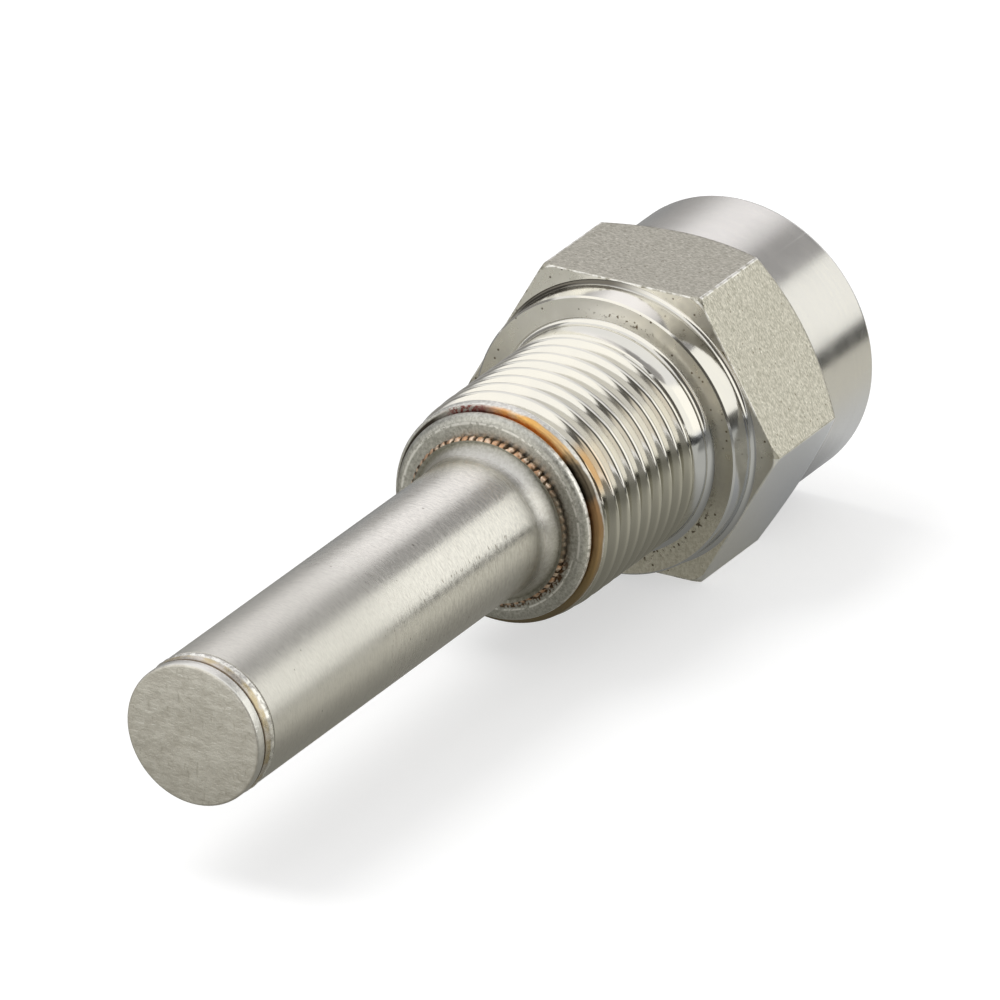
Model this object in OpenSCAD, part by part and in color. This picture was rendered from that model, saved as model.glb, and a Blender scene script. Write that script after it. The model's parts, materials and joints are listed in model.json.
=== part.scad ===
// Threaded thermowell: a pocket that screws into a pipe or tank, so that a
// temperature probe can be taken out without draining it.
// The axis lies along X. The sealing face is at x = 0, the closed tip points
// to -X, the open end to +X, and one pair of hexagon flats faces up and down.

/* [Stem] */
// Insertion length, from the sealing face to the closed tip
insertion_len = 69.8; // [45:0.1:300]
// Outside diameter of the stem tube
stem_od = 12.9; // [11.5:0.1:13.5]
// Bore of the stem tube and of the passage behind it
stem_bore = 9; // [5:0.1:10]
// Depth of the stem tube's seat inside the body
stem_seat_depth = 8; // [3:0.1:14]
// Radial gap between the stem tube and its seat
stem_fit_gap = 0.05; // [0.02:0.01:0.15]

/* [Tip] */
// Thickness of the end plate in front of its weld
tip_plate_t = 1.1; // [0.6:0.1:4]
// Break on the edge of the end plate
tip_edge_r = 0.25; // [0.05:0.05:0.5]
// Width of the tip weld along the stem
tip_weld_w = 1.65; // [0.8:0.05:3]
// Depth of the tip weld below the stem's surface
tip_weld_depth = 1; // [0.4:0.1:1.2]
// Height of the tip weld's crown above the stem's surface
tip_weld_crown = 0.08; // [0.02:0.01:0.3]
// Length of the end plug's spigot, and depth of its seat in the tube
tip_spigot_len = 2.5; // [1:0.1:6]
// Radial step from the tube's bore out to the spigot's seat
tip_seat_step = 0.4; // [0.2:0.05:0.6]
// Radial gap between the spigot and its seat
tip_fit_gap = 0.05; // [0.02:0.01:0.15]

/* [Root weld] */
// Leg of the root weld along the stem
root_weld_leg = 2.7; // [2:0.1:3.5]
// Leg of the root weld up the collar's face
root_weld_height = 1.35; // [1.2:0.05:1.9]
// Radius of the bead that runs round the weld's foot
root_bead_r = 0.4; // [0.3:0.05:0.55]

/* [Nose] */
// Diameter of the weld collar
collar_d = 19.1; // [19:0.1:20.2]
// Length of the weld collar
collar_len = 0.85; // [0.8:0.05:3]
// Rounding of the collar's front edge
collar_round = 0.75; // [0.2:0.05:0.8]
// Width of the heat groove behind the collar
groove_w = 0.3; // [0.2:0.05:1]
// Depth of the heat groove below the collar's surface
groove_depth = 0.45; // [0.2:0.05:1.2]
// Diameter of the plain ring in front of the thread
ring_d = 20.3; // [20:0.1:20.8]
// Length of the plain ring, with its chamfer
ring_len = 1; // [0.8:0.05:4]
// Chamfer on the front of the plain ring
ring_chamfer = 0.3; // [0.1:0.05:0.5]

/* [Process thread] */
// Major diameter of the process thread, G 1/2
thread_major_d = 20.955; // [20.9:0.001:21.2]
// Length of the process thread, with its lead-in
thread_len = 15; // [8:0.1:30]
// Lead-in chamfer at the start of the thread
thread_lead = 0.35; // [0.1:0.05:1]
// Diameter of the plain shank behind the thread
shank_d = 20.8; // [20:0.1:20.9]
// Length of the plain shank behind the thread
shank_len = 2.6; // [1:0.1:6]
// Fillet between the shank and the sealing face
seat_fillet_r = 0.6; // [0.1:0.05:1]

/* [Hexagon body] */
// Diameter of the sealing flange
flange_d = 25.9; // [24.5:0.1:26]
// Thickness of the sealing flange
flange_t = 3; // [1.5:0.1:8]
// Edge break of the sealing flange
flange_edge = 0.2; // [0.05:0.05:0.5]
// Fillet between the flange and the hexagon
flange_fillet_r = 0.45; // [0.1:0.05:0.5]
// Width of the hexagon across its flats
hex_af = 27; // [27:0.1:32]
// Length of the hexagon
hex_len = 12; // [6:0.1:30]
// Corner break of the hexagon towards the flange, measured across a corner
hex_front_break = 0.35; // [0.1:0.05:1.2]
// Chamfer angle of the hexagon towards the flange
hex_front_angle = 30; // [15:1:45]
// Chamfer angle of the hexagon towards the open end
hex_rear_angle = 38; // [15:1:45]

/* [Sensor end] */
// Diameter of the turned sleeve behind the hexagon
sleeve_d = 26.5; // [24:0.1:26.8]
// Length of the turned sleeve
sleeve_len = 9.2; // [3:0.1:40]
// Edge break at the open end
sleeve_edge = 0.5; // [0.1:0.05:0.8]
// Minor diameter of the sensor thread, G 1/2 internal
socket_minor_d = 18.631; // [14.9:0.001:19.2]
// Depth of the sensor thread
socket_depth = 16; // [6:0.1:20]
// Entry chamfer of the sensor thread
socket_chamfer = 1.2; // [0.2:0.1:1.6]
// Point angle of the drill that opened the socket
drill_point_angle = 118; // [90:1:140]

/* [Hidden] */
$fn = 96;

// Lets a cutter start outside the surface that it opens.
overcut = 1;

stem_r = stem_od / 2;
bore_r = stem_bore / 2;
spigot_seat_r = bore_r + tip_seat_step;
hex_corner_r = hex_af / sqrt(3);

// Places along the axis, counted from the sealing face
tip_x = -insertion_len;
tip_weld_x = tip_x + tip_plate_t;
tube_front_x = tip_weld_x + tip_weld_w;
thread_rear_x = -shank_len;
thread_front_x = thread_rear_x - thread_len;
ring_front_x = thread_front_x - ring_len;
collar_rear_x = ring_front_x - groove_w;
nose_x = collar_rear_x - collar_len;
tube_rear_x = nose_x + stem_seat_depth;
hex_front_x = flange_t;
hex_rear_x = hex_front_x + hex_len;
open_end_x = hex_rear_x + sleeve_len;
socket_floor_x = open_end_x - socket_depth;

// Turns a section about the part's axis. In a section the first coordinate
// is the radius and the second is the place along the axis.
module turned() {
    rotate([0, 90, 0])
        rotate_extrude()
            children();
}

// A round cutter along the axis, from x0 to x1.
module drill(r, x0, x1) {
    translate([x0, 0, 0])
        rotate([0, 90, 0])
            cylinder(r = r, h = x1 - x0);
}

// A cutter that widens evenly from narrow_r at x0 to wide_r at x1.
module countersink(narrow_r, wide_r, x0, x1) {
    translate([x0, 0, 0])
        rotate([0, 90, 0])
            cylinder(r1 = narrow_r, r2 = wide_r, h = x1 - x0);
}

// Section of a disc from x0 to x1, with its front rim rounded to round_r.
module rounded_disc_section(r, x0, x1, round_r) {
    translate([0, x0])
        square([r - round_r, x1 - x0]);
    translate([0, x0 + round_r])
        square([r, x1 - x0 - round_r]);
    translate([r - round_r, x0 + round_r])
        intersection() {
            circle(r = round_r);
            translate([0, -round_r])
                square(round_r);
        }
}

// Section of a disc from x0 to x1, with chamfers of front and rear on its rims.
module chamfered_disc_section(r, x0, x1, front = 0, rear = 0) {
    polygon([
        [0, x0], [r - front, x0], [r, x0 + front],
        [r, x1 - rear], [r - rear, x1], [0, x1]
    ]);
}

// Section of the fillet that fills the corner between a cylinder of radius r
// and the face behind it, at x.
module fillet_section(r, x, fillet_r) {
    difference() {
        translate([r, x - fillet_r])
            square(fillet_r);
        translate([r + fillet_r, x - fillet_r])
            circle(r = fillet_r);
    }
}

// Collar, heat groove and plain ring in front of the thread.
module nose_section() {
    rounded_disc_section(collar_d / 2, nose_x, collar_rear_x, collar_round);
    translate([0, collar_rear_x])
        square([collar_d / 2 - groove_depth, groove_w]);
    chamfered_disc_section(ring_d / 2, ring_front_x, thread_front_x, front = ring_chamfer);
}

// The thread's full body at its major diameter, and the plain shank behind it.
module thread_section() {
    chamfered_disc_section(thread_major_d / 2, thread_front_x, thread_rear_x, front = thread_lead);
    translate([0, thread_rear_x])
        square([shank_d / 2, shank_len]);
    fillet_section(shank_d / 2, 0, seat_fillet_r);
}

// The flange that carries the sealing face.
module flange_section() {
    chamfered_disc_section(flange_d / 2, 0, flange_t, front = flange_edge);
    fillet_section(flange_d / 2, flange_t, flange_fillet_r);
}

// The turned sleeve, and the bar inside the hexagon that it grows out of.
module sleeve_section() {
    chamfered_disc_section(sleeve_d / 2, hex_front_x, open_end_x, rear = sleeve_edge);
}

// The turned envelope that breaks the hexagon's corners at both ends. The
// rear cone starts from the sleeve, so it leaves an arc on each flat.
module hex_envelope_section() {
    front_r = hex_corner_r - hex_front_break;
    front_len = hex_front_break * tan(hex_front_angle);
    rear_r = sleeve_d / 2;
    rear_len = (hex_corner_r - rear_r) * tan(hex_rear_angle);
    polygon([
        [0, hex_front_x], [front_r, hex_front_x], [hex_corner_r, hex_front_x + front_len],
        [hex_corner_r, hex_rear_x - rear_len], [rear_r, hex_rear_x], [0, hex_rear_x]
    ]);
}

module hexagon() {
    intersection() {
        translate([hex_front_x, 0, 0])
            rotate([0, 90, 0])
                rotate([0, 0, 30])
                    cylinder(r = hex_corner_r, h = hex_len, $fn = 6);
        turned() hex_envelope_section();
    }
}

// The seat of the stem tube, the passage to the socket, and the socket with
// its drilled floor and its entry chamfer.
module body_bores() {
    socket_r = socket_minor_d / 2;
    cone_len = (socket_r - bore_r) / tan(drill_point_angle / 2);
    drill(stem_r + stem_fit_gap, nose_x - overcut, tube_rear_x);
    drill(bore_r, tube_rear_x - overcut, open_end_x);
    countersink(bore_r, socket_r, socket_floor_x - cone_len, socket_floor_x);
    drill(socket_r, socket_floor_x, open_end_x + overcut);
    countersink(socket_r, socket_r + socket_chamfer, open_end_x - socket_chamfer, open_end_x);
}

// One piece, turned from hexagon bar.
module hex_body() {
    color([0.78, 0.77, 0.72])
        difference() {
            union() {
                turned() {
                    nose_section();
                    thread_section();
                    flange_section();
                    sleeve_section();
                }
                hexagon();
            }
            body_bores();
        }
}

// Seamless tube, with a seat for the end plug in front. It butts against the
// plug and against the floor of its own seat in the body.
module stem_tube() {
    color([0.72, 0.70, 0.67])
        turned()
            difference() {
                translate([bore_r, tube_front_x])
                    square([stem_r - bore_r, tube_rear_x - tube_front_x]);
                translate([0, tube_front_x - overcut])
                    square([spigot_seat_r, overcut + tip_spigot_len]);
            }
}

// Turned plug that closes the tip: end plate, neck under the weld, spigot.
module tip_plug() {
    color([0.65, 0.63, 0.58])
        turned() {
            rounded_disc_section(stem_r, tip_x, tip_weld_x, tip_edge_r);
            translate([0, tip_weld_x])
                square([stem_r - tip_weld_depth, tip_weld_w]);
            translate([0, tube_front_x])
                square([spigot_seat_r - tip_fit_gap, tip_spigot_len]);
        }
}

// Fillet weld between the stem and the collar: a hollow flank that ends in a
// raised bead at its foot.
module root_weld() {
    front_x = nose_x - root_weld_leg;
    bead_x = nose_x - root_bead_r;
    bead_centre_r = stem_r + root_weld_height - root_bead_r;
    // The hollow flank is an arc that leaves the stem at a tangent and ends
    // at the bead's crown.
    run = bead_x - front_x;
    rise = bead_centre_r - stem_r;
    flank_r = (run * run + rise * rise) / (2 * rise);
    color([0.62, 0.55, 0.46])
        turned() {
            difference() {
                translate([stem_r, front_x])
                    square([rise, run]);
                translate([stem_r + flank_r, front_x])
                    circle(r = flank_r, $fn = 180);
            }
            translate([stem_r, bead_x])
                square([rise, root_bead_r]);
            intersection() {
                translate([bead_centre_r, bead_x])
                    circle(r = root_bead_r);
                translate([stem_r, front_x])
                    square([root_weld_height, root_weld_leg]);
            }
        }
}

// Butt weld between the end plug and the tube, with a low crown.
module tip_weld() {
    half_w = tip_weld_w / 2;
    crown_r = (half_w * half_w + tip_weld_crown * tip_weld_crown) / (2 * tip_weld_crown);
    color([0.75, 0.68, 0.56])
        turned() {
            translate([stem_r - tip_weld_depth, tip_weld_x])
                square([tip_weld_depth, tip_weld_w]);
            intersection() {
                translate([stem_r + tip_weld_crown - crown_r, tip_weld_x + half_w])
                    circle(r = crown_r, $fn = 180);
                translate([stem_r, tip_weld_x])
                    square([tip_weld_crown, tip_weld_w]);
            }
        }
}

hex_body();
stem_tube();
tip_plug();
root_weld();
tip_weld();
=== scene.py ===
"""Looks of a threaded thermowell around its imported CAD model.

The axis lies along X with the sealing face at x = 0. Sizes are in millimetres
and angles about the axis run from +Y towards +Z, until mesh and stage
objects are made in metres.
"""

import json
import math

import bmesh
import bpy
import numpy as np
from mathutils import Matrix, Vector


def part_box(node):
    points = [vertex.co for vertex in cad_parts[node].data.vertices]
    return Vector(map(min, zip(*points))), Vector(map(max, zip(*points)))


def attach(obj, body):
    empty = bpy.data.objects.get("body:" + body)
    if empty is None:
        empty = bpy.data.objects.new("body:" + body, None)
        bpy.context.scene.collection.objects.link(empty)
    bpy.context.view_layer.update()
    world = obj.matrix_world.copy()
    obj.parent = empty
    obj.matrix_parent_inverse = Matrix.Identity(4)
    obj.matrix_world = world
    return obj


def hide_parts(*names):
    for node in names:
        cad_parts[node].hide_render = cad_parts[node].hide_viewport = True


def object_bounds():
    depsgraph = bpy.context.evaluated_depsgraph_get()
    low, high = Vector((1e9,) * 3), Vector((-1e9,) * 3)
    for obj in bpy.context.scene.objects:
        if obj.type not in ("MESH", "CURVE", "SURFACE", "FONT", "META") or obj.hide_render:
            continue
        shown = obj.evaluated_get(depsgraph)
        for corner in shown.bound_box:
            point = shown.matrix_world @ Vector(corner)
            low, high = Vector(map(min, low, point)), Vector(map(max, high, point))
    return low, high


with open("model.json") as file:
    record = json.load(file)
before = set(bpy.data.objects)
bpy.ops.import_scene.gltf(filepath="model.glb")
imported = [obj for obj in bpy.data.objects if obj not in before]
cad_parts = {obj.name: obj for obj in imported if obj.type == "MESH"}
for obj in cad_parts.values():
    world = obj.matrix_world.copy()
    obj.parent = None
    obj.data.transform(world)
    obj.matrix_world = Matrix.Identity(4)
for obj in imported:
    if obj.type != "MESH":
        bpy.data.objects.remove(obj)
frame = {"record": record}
cad_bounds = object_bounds()

MM = 0.001
TAU = 2 * math.pi


# ---------------------------------------------------------------- sizes

def box_mm(node):
    """Lowest and highest corner of a CAD node, in millimetres."""
    low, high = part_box(node)
    return low / MM, high / MM


def mount_radius(name):
    """Radius of one of the record's mounts, in millimetres."""
    mounts = {m["name"]: m for m in frame["record"]["mounts"]}
    return mounts[name]["dims"]["r_mm"]


body_low, body_high = box_mm("hex_body")
tube_low, tube_high = box_mm("stem_tube")
plug_low, plug_high = box_mm("tip_plug")
root_low, root_high = box_mm("root_weld")
tip_weld_low, tip_weld_high = box_mm("tip_weld")

FLOOR_Z = body_low.z
NOSE_X = body_low.x
OPEN_END_X = body_high.x
HEX_HALF_AF = body_high.z
HEX_CORNER_R = HEX_HALF_AF / math.cos(math.radians(30))
STEM_R = tube_high.z
THREAD_R = mount_radius("process_thread")
SOCKET_R = mount_radius("sensor_thread")
BORE_R = mount_radius("sensor_bore")
EDGE_ROUND = 0.06

# Nose
SEAT_R = STEM_R + 0.05
COLLAR_R = 9.55
COLLAR_FACE_R = 8.2
COLLAR_LEN = 0.85
COLLAR_ROUND = 0.75
GROOVE_W = 0.3
GROOVE_R = 9.1
RING_R = 10.15
RING_LEN = 1.0
RING_CHAMFER = 0.3
# Radius of the painted highlight line on the collar's face
FACE_GLINT_R = 8.8
TINT_REAR_X = -18.4
TINT_LEAN = (-0.05, -0.016)
COLLAR_REAR_X = NOSE_X + COLLAR_LEN
RING_FRONT_X = COLLAR_REAR_X + GROOVE_W
THREAD_FRONT_X = RING_FRONT_X + RING_LEN

# Whitworth thread, G 1/2
PITCH = 25.4 / 14
THREAD_DEPTH = 0.640327 * PITCH
THREAD_ROUND = 0.137329 * PITCH
CREST_ROUND = 0.29
FLANK_ANGLE = math.radians(27.5)
THREAD_LEAD = 0.35
FIRST_CREST_DROP = 0.2
FIRST_CREST_RUN = 3.2
THREAD_CREST_ANGLE = math.radians(147.7)
THREAD_CREST_X = -3.11

# Shank and flange
SHANK_R = 10.4
SHANK_LEN = 2.6
SEAT_FILLET = 0.6
SWELL_LEN = SHANK_LEN - SEAT_FILLET
SWELL_SLOPE = 0.08
SWELL_CURVE = 0.12
FLANGE_R = 12.95
FLANGE_T = 3.0
FLANGE_EDGE = 0.16
FLANGE_FILLET = 0.45
SHANK_X = -SHANK_LEN

# Hexagon
HEX_LEN = 12.0
HEX_FRONT_BREAK = 0.35
HEX_FRONT_SLOPE = math.tan(math.radians(30))
HEX_REAR_SLOPE = math.tan(math.radians(38))
HEX_CORNER_ROUND = 0.25
HEX_EDGE = 0.12
HEX_FRONT_X = FLANGE_T
HEX_REAR_X = HEX_FRONT_X + HEX_LEN

# Sleeve, socket and bores
SLEEVE_R = 13.25
SLEEVE_FOOT = 0.2
SLEEVE_EDGE = 0.5
SOCKET_DEPTH = 16.0
SOCKET_CHAMFER = 1.2
SOCKET_FLOOR_X = OPEN_END_X - SOCKET_DEPTH
SOCKET_UNCUT = 0.3
SOCKET_RUNOUT = 1.2
DRILL_HALF_ANGLE = math.radians(59)
TUBE_REAR_X = tube_high.x
SPIGOT_SEAT_R = BORE_R + 0.4

# Tip
TIP_X = plug_low.x
TIP_WELD_X = tip_weld_low.x
TUBE_FRONT_X = tube_low.x
PLUG_EDGE = 0.25
PLUG_INNER_R = 3
NECK_R = STEM_R - 1.0
SPIGOT_R = SPIGOT_SEAT_R - 0.05
WELD_SEAM = 0.12
TIP_RIPPLES = 44
TIP_RIPPLE_DEPTH = 0.03
TIP_BEAD_SHARE = 0.76
TIP_BEAD_WIDTH = 0.15
TIP_HOLLOW = 0.05
TIP_HOLLOW_SHARE = 0.6

# Root weld
RIPPLES = 62
RIPPLE_COLUMNS = 10
RIPPLE_PEAK = 0.7
RIPPLE_DEPTH = 0.13
RIPPLE_LEAN = 0.3
BEAD_ROUND = 0.4
BEAD_R = root_high.z - BEAD_ROUND

COLUMNS = 240
MERGE_DISTANCE = 2e-7


# ---------------------------------------------------------------- mesh tools

def arc(x, r, radius, start, end, steps):
    """Points (x, r) on an arc; angles in degrees from +x towards +r."""
    angles = np.radians(np.linspace(start, end, steps + 1))
    return [(x + radius * math.cos(a), r + radius * math.sin(a)) for a in angles]


def flank_profile(offset):
    """Depth below the crest at an axial offset from it, for a Whitworth thread with worn crests."""
    t = np.abs((offset + PITCH / 2) % PITCH - PITCH / 2)
    root_t = PITCH / 2 - t
    crest_t = CREST_ROUND * math.cos(FLANK_ANGLE)
    crest_depth = CREST_ROUND * (1 - math.sin(FLANK_ANGLE))
    crest = CREST_ROUND - np.sqrt(np.maximum(CREST_ROUND**2 - t**2, 0))
    flank = crest_depth + (t - crest_t) / math.tan(FLANK_ANGLE)
    round_t = THREAD_ROUND * math.cos(FLANK_ANGLE)
    round_depth = crest_depth + (PITCH / 2 - round_t - crest_t) / math.tan(FLANK_ANGLE)
    centre = round_depth - THREAD_ROUND * math.sin(FLANK_ANGLE)
    root = centre + np.sqrt(np.maximum(THREAD_ROUND**2 - root_t**2, 0))
    return np.where(t < crest_t, crest, np.where(root_t < round_t, root, flank))


def turn_fractions():
    """Places along one pitch, as fractions from the crest, close together on the rounds."""
    swing = math.pi / 2 - FLANK_ANGLE
    crest = np.sin(np.linspace(-swing, swing, 11)) * CREST_ROUND / PITCH
    root = 0.5 + np.sin(np.linspace(-swing, swing, 7)) * THREAD_ROUND / PITCH
    flank = [crest[-1] + 0.04, root[0] - 0.04]
    places = np.concatenate([crest, flank, root, [1 - f for f in flank]])
    return np.sort(places % 1.0)


class Surface:
    """Collects strips of a body of revolution, as grids of x and radius over the angles."""

    def __init__(self, angles):
        self.angles = np.asarray(angles)
        self.vertices, self.faces, self.materials = [], [], []

    def grid(self, x, r, material, wrap=0):
        """Rows of x and r over the angles. wrap is by how many rows the last column
        is ahead of the first one, for a surface that winds."""
        x, r = np.broadcast_arrays(x, r)
        rows, columns = x.shape
        first = len(self.vertices)
        y, z = r * np.cos(self.angles), r * np.sin(self.angles)
        self.vertices += list(zip((x * MM).ravel(), (y * MM).ravel(), (z * MM).ravel()))
        for row in range(rows - 1):
            for column in range(columns):
                last = column == columns - 1
                step = wrap if last else 0
                if row + 1 + step >= rows:
                    continue
                here = first + row * columns + column
                beside = first + (row + step) * columns + (column + 1) % columns
                self.faces.append((here, beside, beside + columns, here + columns))
                self.materials.append(material)

    def turned(self, profile, material):
        """A strip whose profile is points (x, r), the same at every angle."""
        points = np.array(profile)
        ones = np.ones(len(self.angles))
        self.grid(points[:, :1] * ones, points[:, 1:] * ones, material)

    def rows(self, rows, material):
        """A strip whose rows are pairs (x, r), each a number or one value for each angle."""
        ones = np.ones(len(self.angles))
        x = np.array([np.asarray(row[0]) * ones for row in rows])
        r = np.array([np.asarray(row[1]) * ones for row in rows])
        self.grid(x, r, material)

    def build(self, name, materials, sharp_degrees=32):
        """The mesh object, with the strips joined where they meet."""
        mesh = bpy.data.meshes.new(name)
        mesh.from_pydata(self.vertices, [], self.faces)
        names = list(dict.fromkeys(self.materials))
        for material in names:
            mesh.materials.append(materials[material])
        index = {material: i for i, material in enumerate(names)}
        mesh.polygons.foreach_set("material_index", [index[m] for m in self.materials])
        bm = bmesh.new()
        bm.from_mesh(mesh)
        bmesh.ops.remove_doubles(bm, verts=bm.verts, dist=MERGE_DISTANCE)
        bmesh.ops.recalc_face_normals(bm, faces=bm.faces)
        limit = math.radians(sharp_degrees)
        for face in bm.faces:
            face.smooth = True
        for edge in bm.edges:
            edge.smooth = edge.calc_face_angle(0) < limit
        bm.to_mesh(mesh)
        bm.free()
        piece = bpy.data.objects.new(name, mesh)
        bpy.context.scene.collection.objects.link(piece)
        normals = piece.modifiers.new("face_weighted_normals", "WEIGHTED_NORMAL")
        normals.keep_sharp = True
        return piece


def even_angles(count):
    """Angles round the axis, in radians."""
    return np.arange(count) * TAU / count


# ---------------------------------------------------------------- body

def corner_half_span():
    """Half the angle that a rounded corner of the hexagon takes up."""
    centre = HEX_CORNER_R - HEX_CORNER_ROUND / math.sin(math.radians(60))
    return math.atan2(
        HEX_CORNER_ROUND * math.sin(math.radians(30)),
        centre + HEX_CORNER_ROUND * math.cos(math.radians(30)),
    )


def body_angles():
    """Even angles, with extra ones on the rounded corners of the hexagon."""
    extra = [
        corner * TAU / 6 + share * corner_half_span()
        for corner in range(6)
        for share in (-1, -0.5, 0.5, 1)
    ]
    return np.sort(np.concatenate([even_angles(COLUMNS), np.array(extra) % TAU]))


def hexagon_radius(angles):
    """Distance from the axis to the hexagon with rounded corners."""
    centre = HEX_CORNER_R - HEX_CORNER_ROUND / math.sin(math.radians(60))
    to_corner = (angles + TAU / 12) % (TAU / 6) - TAU / 12
    flat = HEX_HALF_AF / np.cos(TAU / 12 - np.abs(to_corner))
    inside = np.maximum(HEX_CORNER_ROUND**2 - (centre * np.sin(to_corner)) ** 2, 0)
    rounded = centre * np.cos(to_corner) + np.sqrt(inside)
    return np.where(np.abs(to_corner) < corner_half_span(), rounded, flat)


def thread_rows(angles, front_x, rear_x, crest_x, crest_angle, surface_radius):
    """Rows that follow the helix from front_x to rear_x. Returns x, r and the rows a turn."""
    fractions = turn_fractions()
    turns = angles / TAU
    start_x = crest_x - PITCH * crest_angle / TAU
    first = math.floor((front_x - start_x) / PITCH) - 1
    last = math.ceil((rear_x - start_x) / PITCH) + 1
    places = np.concatenate([turn + fractions for turn in range(first, last)])
    x = start_x + PITCH * (places[:, None] + turns[None, :])
    x = np.clip(x, front_x, rear_x)
    offset = x - start_x - PITCH * turns[None, :]
    return x, surface_radius(x, offset), len(fractions)


def outer_thread_radius(x, offset):
    """The male thread between its lead-in and the wall of the shank."""
    run_in = np.clip((THREAD_FRONT_X + FIRST_CREST_RUN - x) / FIRST_CREST_RUN, 0, 1)
    radius = THREAD_R - FIRST_CREST_DROP * run_in**2 - flank_profile(offset)
    lead = THREAD_R - THREAD_LEAD + np.maximum(x - THREAD_FRONT_X, 0)
    wall = SHANK_R - (SHANK_X - x) / math.tan(FLANK_ANGLE)
    return np.maximum(np.minimum(radius, lead), wall)


def socket_thread_radius(x, offset):
    """The female thread, from its full depth at the mouth to nothing at the drill."""
    fade = np.clip((x - SOCKET_FLOOR_X - SOCKET_UNCUT) / SOCKET_RUNOUT, 0, 1)
    depth = (THREAD_DEPTH - flank_profile(offset)) * fade
    mouth = SOCKET_R + SOCKET_CHAMFER - (OPEN_END_X - x)
    return np.maximum(SOCKET_R + depth, mouth)


def make_body(materials):
    """The turned body, from the seat of the stem round its outside to the bore."""
    angles = body_angles()
    surface = Surface(angles)

    surface.turned([(TUBE_REAR_X, BORE_R), (TUBE_REAR_X, SEAT_R), (NOSE_X, SEAT_R)], "bore")
    surface.turned(
        [(NOSE_X, SEAT_R), (NOSE_X, COLLAR_FACE_R)]
        + arc(NOSE_X + COLLAR_ROUND, COLLAR_R - COLLAR_ROUND, COLLAR_ROUND, 180, 90, 8)
        + arc(COLLAR_REAR_X - EDGE_ROUND, COLLAR_R - EDGE_ROUND, EDGE_ROUND, 90, 0, 3)
        + [(COLLAR_REAR_X, GROOVE_R), (RING_FRONT_X, GROOVE_R)]
        + [(RING_FRONT_X, RING_R - RING_CHAMFER)]
        + arc(RING_FRONT_X + RING_CHAMFER, RING_R - RING_CHAMFER, RING_CHAMFER, 180, 90, 5)
        + arc(THREAD_FRONT_X - EDGE_ROUND, RING_R - EDGE_ROUND, EDGE_ROUND, 90, 0, 3),
        "nose",
    )

    x, r, turn_rows = thread_rows(
        angles, THREAD_FRONT_X, SHANK_X, THREAD_CREST_X, THREAD_CREST_ANGLE, outer_thread_radius
    )
    surface.rows([(THREAD_FRONT_X, RING_R - EDGE_ROUND), (x[0], r[0])], "thread")
    surface.grid(x, r, "thread", wrap=turn_rows)
    surface.turned(
        [(SHANK_X, SHANK_R)]
        + arc(-SEAT_FILLET, SHANK_R + SEAT_FILLET, SEAT_FILLET, 270, 360, 6),
        "thread",
    )
    surface.turned(
        [(0, SHANK_R + SEAT_FILLET), (0, FLANGE_R - FLANGE_EDGE)],
        "face",
    )
    surface.turned(
        [(0, FLANGE_R - FLANGE_EDGE), (FLANGE_EDGE, FLANGE_R)]
        + arc(FLANGE_T - FLANGE_FILLET, FLANGE_R + FLANGE_FILLET, FLANGE_FILLET, 270, 360, 6),
        "thread",
    )

    hexagon = hexagon_radius(angles)
    break_start = HEX_CORNER_R - HEX_FRONT_BREAK
    face_r = np.minimum(hexagon, break_start)
    break_x = np.maximum(hexagon - break_start, 0) * HEX_FRONT_SLOPE
    rear_x = HEX_REAR_X - (hexagon - SLEEVE_R) * HEX_REAR_SLOPE
    surface.rows(
        [(HEX_FRONT_X, FLANGE_R + FLANGE_FILLET), (HEX_FRONT_X, face_r - 1.5 * HEX_EDGE)],
        "face",
    )
    surface.rows(
        [
            (HEX_FRONT_X, face_r - 1.5 * HEX_EDGE),
            (HEX_FRONT_X, face_r - HEX_EDGE),
            (HEX_FRONT_X + 0.3 * HEX_EDGE, face_r - 0.3 * HEX_EDGE),
            (HEX_FRONT_X + break_x + HEX_EDGE, hexagon),
            (HEX_FRONT_X + break_x + 3 * HEX_EDGE, hexagon),
            (rear_x - 3 * HEX_EDGE, hexagon),
            (rear_x - HEX_EDGE, hexagon),
            (rear_x + 0.3 * HEX_EDGE, hexagon - 0.7 * HEX_EDGE),
            (HEX_REAR_X, SLEEVE_R),
        ],
        "hexagon",
    )
    surface.turned(
        [(HEX_REAR_X, SLEEVE_R), (HEX_REAR_X + SLEEVE_FOOT, SLEEVE_R)]
        + arc(OPEN_END_X - SLEEVE_EDGE, SLEEVE_R - SLEEVE_EDGE, SLEEVE_EDGE, 90, 0, 6),
        "sleeve",
    )
    surface.turned(
        [(OPEN_END_X, SLEEVE_R - SLEEVE_EDGE), (OPEN_END_X, SOCKET_R + SOCKET_CHAMFER)],
        "face",
    )
    x, r, turn_rows = thread_rows(
        angles, SOCKET_FLOOR_X, OPEN_END_X, OPEN_END_X, 0, socket_thread_radius
    )
    surface.grid(x, r, "bore", wrap=turn_rows)
    cone_len = (SOCKET_R - BORE_R) / math.tan(DRILL_HALF_ANGLE)
    surface.turned(
        [
            (SOCKET_FLOOR_X, SOCKET_R),
            (SOCKET_FLOOR_X - cone_len, BORE_R),
            (TUBE_REAR_X, BORE_R),
        ],
        "bore",
    )
    return surface.build("body_threaded", materials)


# ---------------------------------------------------------------- stem and tip

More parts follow.
